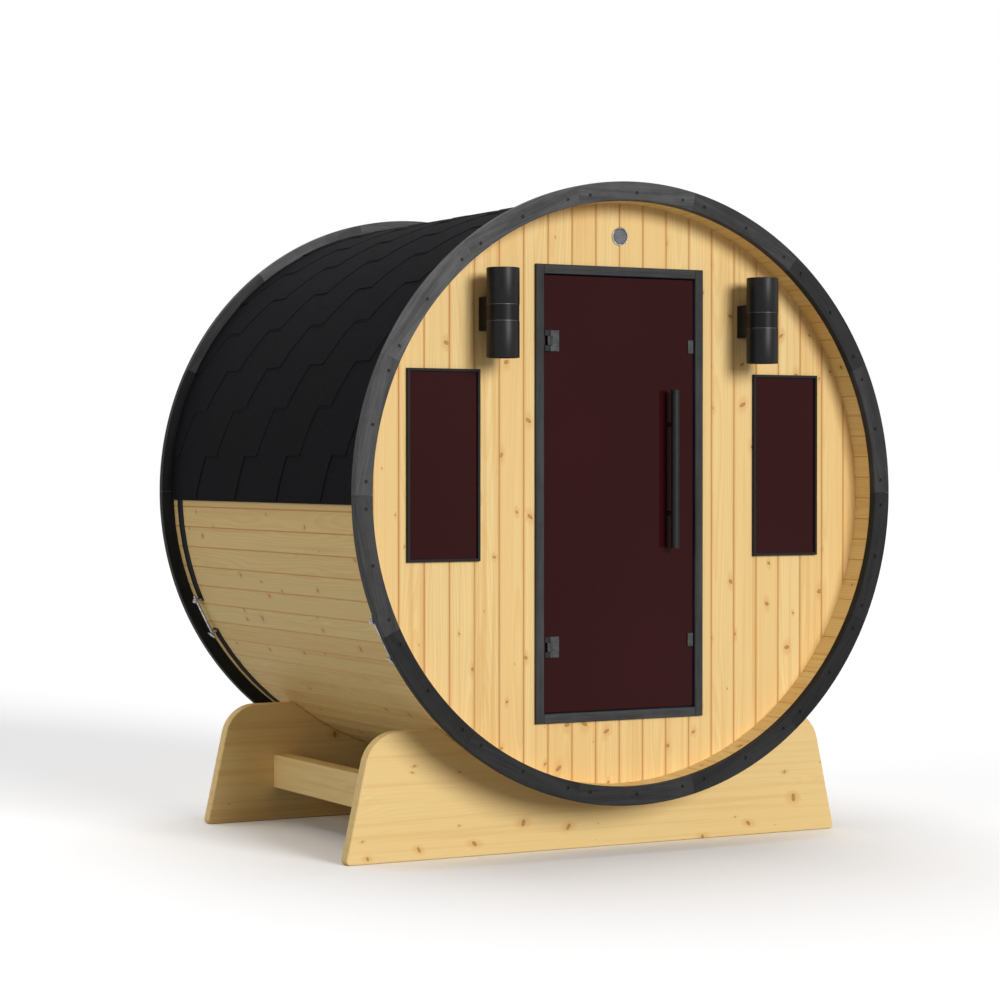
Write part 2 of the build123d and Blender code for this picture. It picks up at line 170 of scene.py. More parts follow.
# pale knotty softwood; the pieces carry grain, edge and tone attributes
def pineFinish(tree, shader, s):
    grain = attributeOf(tree, "grain", "Vector")
    edge = attributeOf(tree, "edge")
    tone = attributeOf(tree, "tone")

    # knots: scattered points, some left out, each with its own size and slant
    cells = vectorOf(tree, "MULTIPLY", grain, (s["knotsAlong"], s["knotsAcross"], 0.0))
    knots = add(tree, "ShaderNodeTexVoronoi", {"Vector": cells, "Scale": 1.0, "Randomness": s["knotScatter"]},
                voronoi_dimensions="2D")
    dice = partsOf(tree, knots.outputs["Color"])
    away = vectorOf(tree, "SUBTRACT", cells, knots.outputs["Position"])
    away = vectorOf(tree, "DIVIDE", away, (s["knotsAlong"], s["knotsAcross"], 1.0))
    wander, half = s["knotWander"], s["knotWander"] / 2
    ragged = noiseOf(tree, grain, 2.0, 0.6, s["knotWanderScale"])["Color"]
    ragged = vectorOf(tree, "MULTIPLY_ADD", ragged, (wander, wander, 0.0), (-half, -half, 0.0))
    parts = add(tree, "ShaderNodeSeparateXYZ", {0: vectorOf(tree, "ADD", away, ragged)}).outputs
    slant = times(tree, mathOf(tree, "SUBTRACT", dice[1], 0.5), s["knotSlant"])
    alongKnot = scaled(tree, parts[1], slant, parts[0])
    squeeze = mathOf(tree, "ADD", 1.0, times(tree, dice[2], -s["knotSqueeze"]))
    acrossKnot = times(tree, parts[1], squeeze)
    size = mathOf(tree, "MAXIMUM", mathOf(tree, "SUBTRACT", dice[0], s["knotsLeftOut"]), 0.0)
    size = scaled(tree, size, s["knotSize"], 0.00001)  # never nothing, as it divides
    reach = mathOf(tree, "DIVIDE", lengthOf(tree, alongKnot, acrossKnot), size)
    flame = mathOf(tree, "DIVIDE", lengthOf(tree, times(tree, alongKnot, s["flame"]), acrossKnot), size)
    core = step(tree, reach, *s["coreEdge"])
    rim = times(tree, core, step(tree, reach, *s["rimEdge"]))
    halo = step(tree, flame, *s["haloEdge"])

    # growth rings: the distance from a wandering pith behind the board
    sway = partsOf(tree, noiseOf(tree, vectorOf(tree, "MULTIPLY", grain, s["swayStretch"]), 2.0)["Color"])
    pith = scaled(tree, fraction(tree, tone, 11.7), 2 * s["pithAside"], -s["pithAside"])
    side = scaled(tree, edge, s["halfWidth"], pith)
    side = scaled(tree, sway[0], s["swayAside"], side)
    deep = scaled(tree, fraction(tree, tone, 5.3), s["pithDepth"], 0.0)
    deep = scaled(tree, sway[1], s["swayDepth"], deep)
    deep = scaled(tree, halo, s["knotLift"], deep)
    wave = mathOf(tree, "FRACT", mathOf(tree, "DIVIDE", lengthOf(tree, side, deep), s["ringPitch"]))
    late = times(tree, step(tree, wave, *s["lateRise"]), step(tree, wave, *s["lateFall"]))

    # fibres: fine streaks, and broad soft ones, stronger in some boards than in others
    fibre = streaksOf(tree, grain, s["fibreStretch"], 3.0, 0.6)
    broad = streaksOf(tree, grain, s["broadStretch"])
    figured = scaled(tree, fraction(tree, tone, 7.9), s["streakShare"], s["streakShare"] * s["leastStreak"])

    # from the palest boards to the warmest
    colour = mixOf(tree, tone, s["pale"], s["warm"])
    colour = glaze(tree, colour, step(tree, broad, *s["broadEdge"]), figured, s["late"])
    colour = glaze(tree, colour, late, s["ringShare"], s["late"])
    colour = glaze(tree, colour, step(tree, fibre, *s["fibreEdge"]), s["fibreShare"], s["late"])
    colour = glaze(tree, colour, halo, s["haloShare"], s["halo"])
    colour = glaze(tree, colour, core, s["knotShare"], s["knot"])
    colour = glaze(tree, colour, rim, s["rimShare"], s["knotDark"])
    joint = step(tree, mathOf(tree, "ABSOLUTE", edge), s["jointFrom"], 1.0)
    colour = glaze(tree, colour, joint, s["jointShare"], s["joint"])
    rough = scaled(tree, fibre, s["fibreRough"], s["roughness"])
    coat(tree, shader, colour, mathOf(tree, "SUBTRACT", rough, times(tree, core, s["knotPolish"])))
    relief = scaled(tree, core, s["knotRelief"], scaled(tree, late, s["ringRelief"], fibre))
    addBump(tree, shader, relief, s)


# black stain that lets the grain through
def stainFinish(tree, shader, s):
    grain = attributeOf(tree, "grain", "Vector")
    tone = attributeOf(tree, "tone")
    fibre = streaksOf(tree, grain, s["fibreStretch"], 4.0, 0.65)
    broad = streaksOf(tree, grain, s["broadStretch"], 3.0, 0.55)
    patch = noiseOf(tree, grain, 3.0, 0.6, s["patchScale"])[0]
    mixed = scaled(tree, broad, s["broadPart"], times(tree, fibre, s["fibrePart"]))
    mixed = scaled(tree, patch, s["patchPart"], mixed)
    # on the end rings the tone holds real stain variation together with painted light and shade, set segment
    # by segment
    base = mixOf(tree, tone, s["dark"], s["light"])
    shade = scaled(tree, step(tree, mixed, *s["grainEdge"]), s["contrast"], 1 - s["contrast"] / 2)
    pore = step(tree, streaksOf(tree, grain, s["poreStretch"], 1.0), *s["poreEdge"])
    colour = glaze(tree, vectorOf(tree, "MULTIPLY", base, shade), pore, s["poreShare"], s["pore"])
    coat(tree, shader, colour, scaled(tree, broad, s["broadRough"], s["roughness"]))
    addBump(tree, shader, mathOf(tree, "SUBTRACT", fibre, pore), s)


# painted or plated metal with fine wear
def metalFinish(tree, shader, s):
    plug(tree, s["metallic"], shader.inputs["Metallic"])
    place = placeOf(tree)
    mottled = noiseOf(tree, place, 4.0, 0.6, s["mottleScale"])[0]
    brushed = streaksOf(tree, place, s["brush"], 3.0, 0.6)
    both = scaled(tree, mottled, 0.5, times(tree, brushed, 0.5))
    colour = mixOf(tree, step(tree, both, *s["toneEdge"]), s["dark"], s["light"])
    coat(tree, shader, colour, scaled(tree, both, s["roughSpread"], s["roughness"]))
    addBump(tree, shader, brushed, s)


# dark tinted glass with a faint haze and smears
def glassFinish(tree, shader, s):
    plug(tree, s["bending"], shader.inputs["IOR"])
    place = placeOf(tree)
    haze = noiseOf(tree, place, 2.0, 0.5, s["hazeScale"])[0]
    smear = noiseOf(tree, place, 4.0, 0.6, s["smearScale"])[0]
    colour = mixOf(tree, step(tree, haze, *s["toneEdge"]), s["dark"], s["light"])
    coat(tree, shader, colour, scaled(tree, smear, s["smearRough"], s["roughness"]))


# mineral granules on bitumen
def shingleFinish(tree, shader, s):
    place = placeOf(tree)
    tone = attributeOf(tree, "tone")
    granule = add(tree, "ShaderNodeTexVoronoi", {"Vector": place, "Scale": s["granules"]})
    speck = partsOf(tree, granule.outputs["Color"])[0]
    patch = noiseOf(tree, place, 4.0, 0.6, s["patchScale"])[0]
    colour = mixOf(tree, step(tree, speck, *s["toneEdge"]), s["dark"], s["light"])
    colour = glaze(tree, colour, step(tree, speck, *s["brightEdge"]), s["brightShare"], s["bright"])
    shade = scaled(tree, tone, 0.5, times(tree, patch, 0.5))
    colour = glaze(tree, colour, shade, s["warmShare"], s["warm"])
    coat(tree, shader, colour, scaled(tree, speck, s["speckRough"], s["roughness"]))
    addBump(tree, shader, granule.outputs["Distance"], s)


# the whitish lens of a lamp
def lensFinish(tree, shader, s):
    grit = noiseOf(tree, placeOf(tree), 3.0, 0.5, s["gritScale"])[0]
    coat(tree, shader, mixOf(tree, grit, s["dark"], s["light"]), s["roughness"])
    addBump(tree, shader, grit, s)


# edges are where a mask starts and where it is full; stretches squeeze a pattern along, across and deep
pineLook = {
    "pale": tint(241, 212, 149), "warm": tint(237, 201, 134), "late": tint(223, 177, 106),
    "halo": tint(221, 170, 100), "knot": tint(178, 124, 68), "knotDark": tint(126, 78, 40),
    "joint": tint(212, 160, 95), "jointFrom": 0.8, "jointShare": 0.8, "halfWidth": 0.042,
    "ringPitch": 0.0052, "ringShare": 0.3, "lateRise": (0.15, 0.8), "lateFall": (1.0, 0.86),
    "pithAside": 0.065, "pithDepth": 0.05,
    "swayStretch": (0.9, 5.0, 5.0), "swayAside": 0.04, "swayDepth": 0.07,
    "streakShare": 0.5, "leastStreak": 0.35, "broadStretch": (1.1, 55.0, 55.0), "broadEdge": (0.45, 0.72),
    "fibreStretch": (5.0, 420.0, 420.0), "fibreEdge": (0.4, 0.8), "fibreShare": 0.28, "fibreRough": 0.15,
    "knotsAlong": 7.0, "knotsAcross": 12.0, "knotsLeftOut": 0.42, "knotScatter": 0.9, "knotSize": 0.0125,
    "knotSlant": 1.2, "knotSqueeze": 0.45, "knotWander": 0.003, "knotWanderScale": 240.0, "knotLift": 0.006,
    "flame": 0.42, "coreEdge": (1.15, 0.8), "rimEdge": (0.35, 0.95), "haloEdge": (2.6, 0.7),
    "haloShare": 0.55, "knotShare": 0.85, "rimShare": 0.4, "knotPolish": 0.12,
    "specular": 0.3, "roughness": 0.5, "relief": 0.0004, "bump": 0.35, "knotRelief": 0.8, "ringRelief": 0.5}
pineLooks = {
    "wallPine": {},
    "stavePine": {"halfWidth": 0.034, "jointFrom": 0.86, "knotSlant": 0.6, "knotSize": 0.011,
        "knot": tint(150, 110, 72), "knotDark": tint(92, 62, 42),
        "pale": tint(232, 206, 142), "warm": tint(226, 193, 127), "late": tint(211, 170, 104)},
    "floorPine": {"halfWidth": 0.06, "roughness": 0.6, "jointShare": 0.4},
    "cradlePine": {"halfWidth": 0.15, "jointShare": 0.0, "ringPitch": 0.0034, "ringShare": 0.14,
        "knotsAlong": 6.0, "knotsAcross": 9.0,
        "pale": tint(240, 212, 149), "warm": tint(238, 206, 140)}}
stainLook = {
    "fibreStretch": (7.0, 300.0, 300.0), "broadStretch": (2.2, 38.0, 38.0), "patchScale": 14.0,
    "grainEdge": (0.62, 1.32), "poreStretch": (22.0, 900.0, 900.0), "poreEdge": (0.66, 0.74),
    "poreShare": 0.6, "broadRough": 0.25, "relief": 0.0005, "bump": 0.4,
    "broadPart": 0.9, "fibrePart": 0.7, "patchPart": 0.35}
stainLooks = {
    "ringStain": {"dark": tint(32, 32, 32), "light": tint(86, 86, 87), "pore": tint(14, 14, 15),
        "specular": 0.1, "contrast": 0.95, "roughness": 0.46},
    "frameStain": {"dark": tint(44, 44, 45), "light": tint(62, 63, 63), "pore": tint(22, 22, 23),
        "specular": 0.1, "contrast": 0.9, "roughness": 0.48},
    "windowStain": {"dark": tint(30, 30, 31), "light": tint(38, 38, 39), "pore": tint(16, 16, 17),
        "specular": 0.12, "contrast": 0.4, "roughness": 0.42}}
metalLook = {
    "metallic": 0.0, "specular": 0.3, "mottleScale": 60.0, "brush": (90.0, 90.0, 90.0),
    "toneEdge": (0.35, 0.65), "roughSpread": 0.1, "relief": 0.0001, "bump": 0.12}
metalLooks = {
    "strapBlack": {"specular": 0.12, "mottleScale": 30.0, "brush": (8.0, 240.0, 8.0), "roughness": 0.34,
        "dark": tint(14, 13, 16), "light": tint(22, 20, 26), "roughSpread": 0.2, "relief": 0.0003},
    "zincPlate": {"metallic": 1.0, "specular": 0.5, "mottleScale": 90.0, "brush": (60.0, 60.0, 60.0),
        "dark": tint(128, 130, 136), "light": tint(188, 190, 196), "roughness": 0.28,
        "roughSpread": 0.2, "relief": 0.0002},
    # the screws are zinc steel; their heads are coloured near black, painted shade of the countersinks they
    # sit in
    "screwBlack": {"metallic": 0.3, "mottleScale": 200.0, "brush": (200.0, 200.0, 200.0),
        "dark": tint(14, 14, 15), "light": tint(26, 26, 28), "roughness": 0.3},
    "brightRim": {"metallic": 1.0, "specular": 0.5, "dark": tint(178, 180, 184), "light": tint(222, 224, 228),
        "roughness": 0.16},
    "sieveSteel": {"metallic": 0.8, "mottleScale": 120.0, "dark": tint(92, 92, 95),
        "light": tint(120, 121, 125), "roughness": 0.42, "roughSpread": 0.15},
    "trimSteel": {"metallic": 0.9, "dark": tint(72, 72, 74), "light": tint(98, 98, 101), "roughness": 0.34},
    "lampBlack": {"specular": 0.18, "mottleScale": 40.0, "brush": (160.0, 160.0, 14.0),
        "dark": tint(18, 18, 19), "light": tint(25, 25, 26), "roughness": 0.32, "roughSpread": 0.12},
    "hingeGrey": {"metallic": 0.5, "mottleScale": 70.0, "brush": (20.0, 20.0, 300.0),
        "dark": tint(44, 45, 45), "light": tint(68, 69, 69), "roughness": 0.34, "roughSpread": 0.15},
    # a darker copy of the hinge metal for the leaves: painted shade of the narrow gap by the jamb where they
    # sit
    "hingeDark": {"metallic": 0.4, "specular": 0.2, "mottleScale": 70.0, "brush": (20.0, 20.0, 300.0),
        "dark": tint(22, 22, 23), "light": tint(40, 41, 41), "roughness": 0.4, "roughSpread": 0.15},
    "handleBlack": {"specular": 0.2, "mottleScale": 50.0, "brush": (200.0, 200.0, 12.0),
        "dark": tint(18, 19, 19), "light": tint(28, 29, 28), "roughness": 0.34, "roughSpread": 0.12}}
glassLook = {
    "specular": 0.08, "bending": 1.5, "hazeScale": 1.3, "toneEdge": (0.3, 0.7), "smearScale": 9.0,
    "smearRough": 0.05, "roughness": 0.01}
glassLooks = {
    "doorTint": {"dark": (0.032, 0.0045, 0.0055, 1.0), "light": (0.036, 0.006, 0.007, 1.0)},
    "windowTint": {"dark": (0.032, 0.005, 0.006, 1.0), "light": (0.036, 0.0065, 0.0075, 1.0)}}
shingleLook = {
    "granules": 520.0, "dark": tint(7, 7, 9), "light": tint(20, 21, 24), "bright": tint(54, 55, 58),
    "warm": tint(15, 15, 16), "patchScale": 6.0, "brightEdge": (0.93, 0.96), "brightShare": 0.5,
    "toneEdge": (0.2, 1.0), "warmShare": 0.5, "specular": 0.06, "speckRough": 0.15, "roughness": 0.8,
    "relief": 0.0012, "bump": 0.5}
lensLook = {
    "dark": tint(214, 212, 204), "light": tint(236, 235, 230), "gritScale": 120.0, "specular": 0.5,
    "roughness": 0.35, "relief": 0.0004, "bump": 0.2}

for make, common, looks in (
        (pineFinish, pineLook, pineLooks), (stainFinish, stainLook, stainLooks),
        (metalFinish, metalLook, metalLooks), (glassFinish, glassLook, glassLooks),
        (shingleFinish, shingleLook, {"roofBitumen": {}}), (lensFinish, lensLook, {"lensWhite": {}})):
    for name, look in looks.items():
        tree, shader = newMaterial(name)
        look = {**common, **look}
        plug(tree, look["specular"], shader.inputs["Specular IOR Level"])
        make(tree, shader, look)
print("finishes made:", len(finishes))


# mesh helpers
def chamfered(low, high, cuts):
    (x0, y0), (x1, y1) = low, high
    a, b, c, d = cuts  # at (x0, y0), (x1, y0), (x1, y1), (x0, y1)
    corners = [(x0 + a, y0), (x1 - b, y0), (x1, y0 + b), (x1, y1 - c),
               (x1 - c, y1), (x0 + d, y1), (x0, y1 - d), (x0, y0 + a)]
    kept = []
    for corner in corners:
        if corner not in kept:
            kept.append(corner)
    return kept


# a point at an angle round a line along the drum
def around(radius, angle, along, height=0.0):
    return (radius * math.cos(angle), along, height + radius * math.sin(angle))


# rings of points joined into one closed solid
def loft(bm, rings):
    rows = [[bm.verts.new(point) for point in ring] for ring in rings]
    count = len(rows[0])
    for first, second in zip(rows, rows[1:]):
        for i in range(count):
            j = (i + 1) % count
            bm.faces.new((first[i], first[j], second[j], second[i]))
    bm.faces.new(rows[0][::-1])
    bm.faces.new(rows[-1])


def objectOf(name, mesh, finish=None, smooth=30):
    mesh.name = name
    obj = bpy.data.objects.new(name, mesh)
    scene.collection.objects.link(obj)
    if finish:
        mesh.materials.clear()
        mesh.materials.append(finishes[finish])
    if smooth:
        mesh.shade_smooth()
        mesh.set_sharp_from_angle(angle=math.radians(smooth))
    return obj


def meshObject(name, bm, finish=None, recalc=True, smooth=30):
    if recalc:
        bmesh.ops.recalc_face_normals(bm, faces=bm.faces)
    mesh = bpy.data.meshes.new(name)
    bm.to_mesh(mesh)
    bm.free()
    return objectOf(name, mesh, finish, smooth)


# the mesh that an object's modifiers give
def resultOf(obj):
    graph = bpy.context.evaluated_depsgraph_get()
    final = obj.evaluated_get(graph)
    return bpy.data.meshes.new_from_object(final, preserve_all_data_layers=True, depsgraph=graph)


def drop(*objects):
    for obj in objects:
        mesh = obj.data
        bpy.data.objects.remove(obj)
        bpy.data.meshes.remove(mesh)


# profile: pairs of radius and place along the axis; a radius of 0 closes a pole
def lathe(bm, profile, centre, axis="Z", steps=64, closed=False):
    rows = []
    for radius, place in profile:
        ring = []
        for i in range(steps if radius > 0 else 1):
            x, y, z = around(radius, 2 * math.pi * i / steps, place)
            point = (x, y, z) if axis == "Y" else (x, z, y)
            ring.append(bm.verts.new(Vector(point) + centre))
        rows.append(ring)
    pairs = list(zip(rows, rows[1:])) + ([(rows[-1], rows[0])] if closed else [])
    for first, second in pairs:
        for i in range(steps):
            j = (i + 1) % steps
            if len(first) == 1:
                bm.faces.new((first[0], second[j], second[i]))
            elif len(second) == 1:
                bm.faces.new((first[i], first[j], second[0]))
            else:
                bm.faces.new((first[i], first[j], second[j], second[i]))


# a merged copy of a node's mesh, with flat faces whole again
def mergedCopy(node):
    bm = bmesh.new()
    bm.from_mesh(nodes[node].data)
    bmesh.ops.remove_doubles(bm, verts=bm.verts, dist=1e-5)
    bmesh.ops.dissolve_limit(bm, angle_limit=math.radians(0.5), verts=bm.verts, edges=bm.edges)
    return bm


# the node's own shape with its sharp edges eased
def eased(node, name, bevel, finish):
    sharp = math.radians(35)
    bm = mergedCopy(node)
    edges = [e for e in bm.edges if len(e.link_faces) == 2 and e.calc_face_angle(0) > sharp]
    bmesh.ops.bevel(bm, geom=edges, offset=bevel, segments=1, profile=0.5, affect="EDGES", clamp_overlap=True)
    return meshObject(name, bm, finish, recalc=False)


def pointsOf(obj):
    flat = np.empty(len(obj.data.vertices) * 3)
    obj.data.vertices.foreach_get("co", flat)
    return flat.reshape(-1, 3)


# each vertex's place along the drum, its angle round the axis and its distance from it
def polarOf(obj):
    points = pointsOf(obj)
    up = points[:, 2] - axisHeight
    return points[:, 1], np.arctan2(up, points[:, 0]), np.hypot(points[:, 0], up)


# board: an index for each vertex; the rest in metres from the middle of the board
def storeGrain(obj, board, along, across, deep, half, seed, tones=None):
    dice = np.random.default_rng(seed)
    board = board.astype(int) - int(board.min())
    count = int(board.max()) + 1
    shift = dice.uniform(0, 40, (count, 3))
    tone = dice.uniform(0, 1, count) if tones is None else np.array(tones)
    grain = np.stack([along, across, deep], 1) + shift[board]
    attributes = obj.data.attributes
    for name, kind, field, values in (("grain", "FLOAT_VECTOR", "vector", grain.ravel()),
                                      ("edge", "FLOAT", "value", across / half),
                                      ("tone", "FLOAT", "value", tone[board])):
        if name in attributes:
            attributes.remove(attributes[name])
        attributes.new(name, kind, "POINT").data.foreach_set(field, values.astype(np.float32))


def finished(piece, body, slot, *replaced):
    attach(piece, body)
    if replaced:
        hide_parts(*replaced)


def dress(node, finish):
    obj = nodes[node]
    if not obj.material_slots:
        obj.data.materials.append(None)
    for place in obj.material_slots:
        place.link = "OBJECT"
        place.material = finishes[finish]


# Geometry Nodes helpers; every tree starts from one blank and ends in one material
def newTree(name, sockets):
    tree = bpy.data.node_groups.new(name, "GeometryNodeTree")
    for label, kind in {"Blank": "Object", "Material": "Material", **sockets}.items():
        tree.interface.new_socket(label, in_out="INPUT", socket_type="NodeSocket" + kind)
    tree.interface.new_socket("Geometry", in_out="OUTPUT", socket_type="NodeSocketGeometry")
    return tree, add(tree, "NodeGroupInput").outputs, add(tree, "GeometryNodeInputIndex").outputs[0]


def joinXyz(tree, x, y, z):
    return add(tree, "ShaderNodeCombineXYZ", {0: x, 1: y, 2: z}).outputs[0]


def spotsOf(tree, count, place):
    return add(tree, "GeometryNodePoints", {"Count": count, "Position": place}).outputs[0]


def copiesOf(tree, inside, spots, values=None):
    blank = add(tree, "GeometryNodeObjectInfo", {"Object": inside["Blank"]}).outputs["Geometry"]
    values = {"Points": spots, "Instance": blank, **(values or {})}
    return add(tree, "GeometryNodeInstanceOnPoints", values).outputs[0]


def realized(tree, geometry):
    return add(tree, "GeometryNodeRealizeInstances", {0: geometry}).outputs[0]


def closeTree(tree, inside, geometry):
    finish = {"Geometry": realized(tree, geometry), "Material": inside["Material"]}
    result = add(tree, "GeometryNodeSetMaterial", finish).outputs[0]
    plug(tree, result, add(tree, "NodeGroupOutput").inputs[0])
    return tree


def applyTree(tree, name, blank, finish, settings):
    host = bpy.data.objects.new(name + "Host", bpy.data.meshes.new(name + "Host"))
    scene.collection.objects.link(host)
    modifier = host.modifiers.new("tree", "NODES")
    modifier.node_group = tree
    values = {"Blank": blank, "Material": finishes[finish], **settings}
    for item in tree.interface.items_tree:
        if item.in_out == "INPUT":
            modifier[item.identifier] = values[item.name]
    mesh = resultOf(host)
    drop(host)
    return objectOf(name, mesh)


# copies of a blank at even angles round a line along the drum
def makeSpinTree():
    tree, inside, index = newTree("spinRound", {"Count": "Int", "First Angle": "Float", "Step": "Float",
                                                "Centre": "Vector"})
    angle = scaled(tree, index, inside["Step"], inside["First Angle"])
    turn = joinXyz(tree, 0.0, times(tree, angle, -1.0), 0.0)
    turn = add(tree, "FunctionNodeEulerToRotation", {0: turn}).outputs[0]
    spots = spotsOf(tree, inside["Count"], inside["Centre"])
    return closeTree(tree, inside, copiesOf(tree, inside, spots, {"Rotation": turn}))


# copies of a blank in a straight row
def makeRowTree():
    tree, inside, index = newTree("rowAlong", {"Count": "Int", "First": "Vector", "Offset": "Vector"})
    moved = add(tree, "ShaderNodeVectorMath", {0: inside["Offset"], "Scale": index}, operation="SCALE")
    place = vectorOf(tree, "ADD", inside["First"], moved.outputs[0])
    return closeTree(tree, inside, copiesOf(tree, inside, spotsOf(tree, inside["Count"], place)))


# courses of tabs laid out flat, then bent round the drum:
# X is the height above the felt, Y runs along the drum, Z is the length round it
def makeCourseTree():
    tree, inside, index = newTree("coursesRound", {
        "Courses": "Int", "Columns": "Int", "Exposure": "Float", "Pitch": "Float", "First Arc": "Float",
        "First Place": "Float", "Shift": "Float", "Drift": "Float", "Radius": "Float",
        "Centre Height": "Float", "Side": "Float"})
    column = mathOf(tree, "MODULO", index, inside["Columns"])
    course = mathOf(tree, "FLOOR", mathOf(tree, "DIVIDE", index, inside["Columns"]))
    odd = mathOf(tree, "MODULO", course, 2.0)
    even = mathOf(tree, "SUBTRACT", 1.0, odd)
    place = scaled(tree, scaled(tree, odd, 0.5, column), inside["Pitch"], inside["First Place"])
    place = scaled(tree, course, inside["Drift"], place)
    arc = scaled(tree, course, inside["Exposure"], inside["First Arc"])
    arc = scaled(tree, even, inside["Shift"], arc)
    total = times(tree, inside["Courses"], inside["Columns"])
    spots = spotsOf(tree, total, joinXyz(tree, 0.0, place, arc))
    dice = add(tree, "FunctionNodeRandomValue", {"Seed": 7}, data_type="FLOAT").outputs[1]
    toned = add(tree, "GeometryNodeStoreNamedAttribute", {"Geometry": spots, "Name": "tone", "Value": dice},
                data_type="FLOAT", domain="POINT").outputs[0]
    flat = realized(tree, copiesOf(tree, inside, toned))
    parts = add(tree, "ShaderNodeSeparateXYZ", {0: add(tree, "GeometryNodeInputPosition").outputs[0]}).outputs
    radius = mathOf(tree, "ADD", parts[0], inside["Radius"])
    angle = mathOf(tree, "DIVIDE", parts[2], inside["Radius"])
    x = times(tree, times(tree, radius, mathOf(tree, "COSINE", angle)), inside["Side"])
    z = scaled(tree, radius, mathOf(tree, "SINE", angle), inside["Centre Height"])
    bent = {"Geometry": flat, "Position": joinXyz(tree, x, parts[1], z)}
    return closeTree(tree, inside, add(tree, "GeometryNodeSetPosition", bent).outputs[0])


# a plate of small cells in staggered rows, kept within a circle
def makeSieveTree():
    tree, inside, index = newTree("sieveCells", {"Rows": "Int", "Pitch": "Float", "Reach": "Float",
                                                 "Dish": "Float", "Centre": "Vector"})
    rows, pitch = inside["Rows"], inside["Pitch"]
    row = mathOf(tree, "FLOOR", mathOf(tree, "DIVIDE", index, rows))
    column = mathOf(tree, "MODULO", index, rows)
    middle = times(tree, mathOf(tree, "SUBTRACT", rows, 1.0), 0.5)
    odd = mathOf(tree, "MODULO", row, 2.0)
    across = times(tree, mathOf(tree, "SUBTRACT", scaled(tree, odd, 0.5, column), middle), pitch)
    up = times(tree, mathOf(tree, "SUBTRACT", row, middle), pitch)
    up = times(tree, up, math.sqrt(3) / 2)
    flat = joinXyz(tree, across, 0.0, up)
    away = add(tree, "ShaderNodeVectorMath", {0: flat}, operation="LENGTH").outputs[1]
    share = mathOf(tree, "DIVIDE", away, inside["Reach"])
    dish = times(tree, times(tree, share, share), inside["Dish"])
    spot = vectorOf(tree, "ADD", joinXyz(tree, across, dish, up), inside["Centre"])
    kept = add(tree, "FunctionNodeCompare", {0: away, 1: inside["Reach"]},
               data_type="FLOAT", operation="LESS_THAN")
    spots = spotsOf(tree, times(tree, rows, rows), spot)
    return closeTree(tree, inside, copiesOf(tree, inside, spots, {"Selection": kept.outputs[0]}))


spinTree = makeSpinTree()
rowTree = makeRowTree()
courseTree = makeCourseTree()
sieveTree = makeSieveTree()


def cut(name, first, second, operation):
    modifier = first.modifiers.new("cut", "BOOLEAN")
    modifier.operation = operation
    modifier.solver = "EXACT"
    modifier.object = second
    mesh = resultOf(first)
    first.modifiers.remove(modifier)
    return objectOf(name, mesh)


# drum staves
staveSettings = {
    "count": 84, "turn": 1.0, "groove": 0.002, "innerGroove": 0.0012, "gap": 0.0001, "endGap": 0.026,
    "seed": 11}


def makeStaves(s):
    turn = 2 * math.pi / s["count"]
    outer = drumOuter * math.cos(turn / 2)
    inner = drumInner * math.cos(turn / 2)
    g, i = s["groove"], s["innerGroove"]
    wide = outer * math.tan(turn / 2) - s["gap"]
    narrow = inner * math.tan(turn / 2) - s["gap"]
    slope = (wide - narrow) / (outer - inner)
    section = [(inner, narrow - i), (inner + i, narrow + slope * i),
               (outer - g, wide - slope * g), (outer, wide - g)]
    section += [(x, -z) for x, z in section[::-1]]
    bm = bmesh.new()
    ends = (frontFace + s["endGap"], backFace - s["endGap"])
    loft(bm, [[(x, y, z) for x, z in section] for y in ends])
    blank = meshObject("staveBlank", bm)
    first = math.radians(s["turn"])
    staves = applyTree(spinTree, "drumStaves", blank, "stavePine",
                       {"Count": s["count"], "First Angle": first, "Step": turn, "Centre": drumCentre})
    drop(blank)
    along, angle, radius = polarOf(staves)
    angle = angle - first
    board = np.round(angle / turn) % s["count"]
    off = (angle / turn - np.round(angle / turn)) * turn
    storeGrain(staves, board, along, radius * np.sin(off), radius * np.cos(off) - outer, wide, s["seed"])
    panels = [name for name in nodes if name.startswith("stave_panel")]
    finished(staves, "drum", "stave_pine", *panels)
    print("staves made:", s["count"])


makeStaves(staveSettings)

# end rings: butted segments, each with three countersunk screws
# the head's profile gives radii, and heights above the seat that it rests on
ringSettings = {
    "segments": 14, "joint": 0.0003, "thick": 0.026, "chamfer": 0.0022, "innerChamfer": 0.0008, "steps": 16,
    "screwRadius": ringOuter - 0.034, "screwFromJoint": math.radians(2.5), "over": 0.0005, "grainHalf": 0.04,
    "sinkTop": 0.00605, "sinkDeep": 0.0038, "sinkBottom": 0.0040, "seat": 0.0002,
    "head": ((0, 0.0001), (0.0013, 0.0001), (0.0015, 0.0008), (0.0026, 0.0008), (0.0034, 0.0003),
             (0.0034, -0.0001), (0, -0.0001)),
    # how pale each segment is, anticlockwise from the right: partly real variation in the stain and partly
    # painted light, paler on the segments at the upper left where light falls and darker, as painted shade,
    # on those at the lower left
    "frontStainAndLight": (0.3, 0.1, 0.4, 0.8, 0.85, 1.0, 0.7, 0.4, 0.05, 0.1, 0.2, 0.1, 0.0, 0.05),
    "backStainAndLight": (0.2, 0.1, 0.3, 0.75, 0.9, 0.4, 0.0, 0.0, 0.05, 0.1, 0.2, 0.1, 0.0, 0.05)}


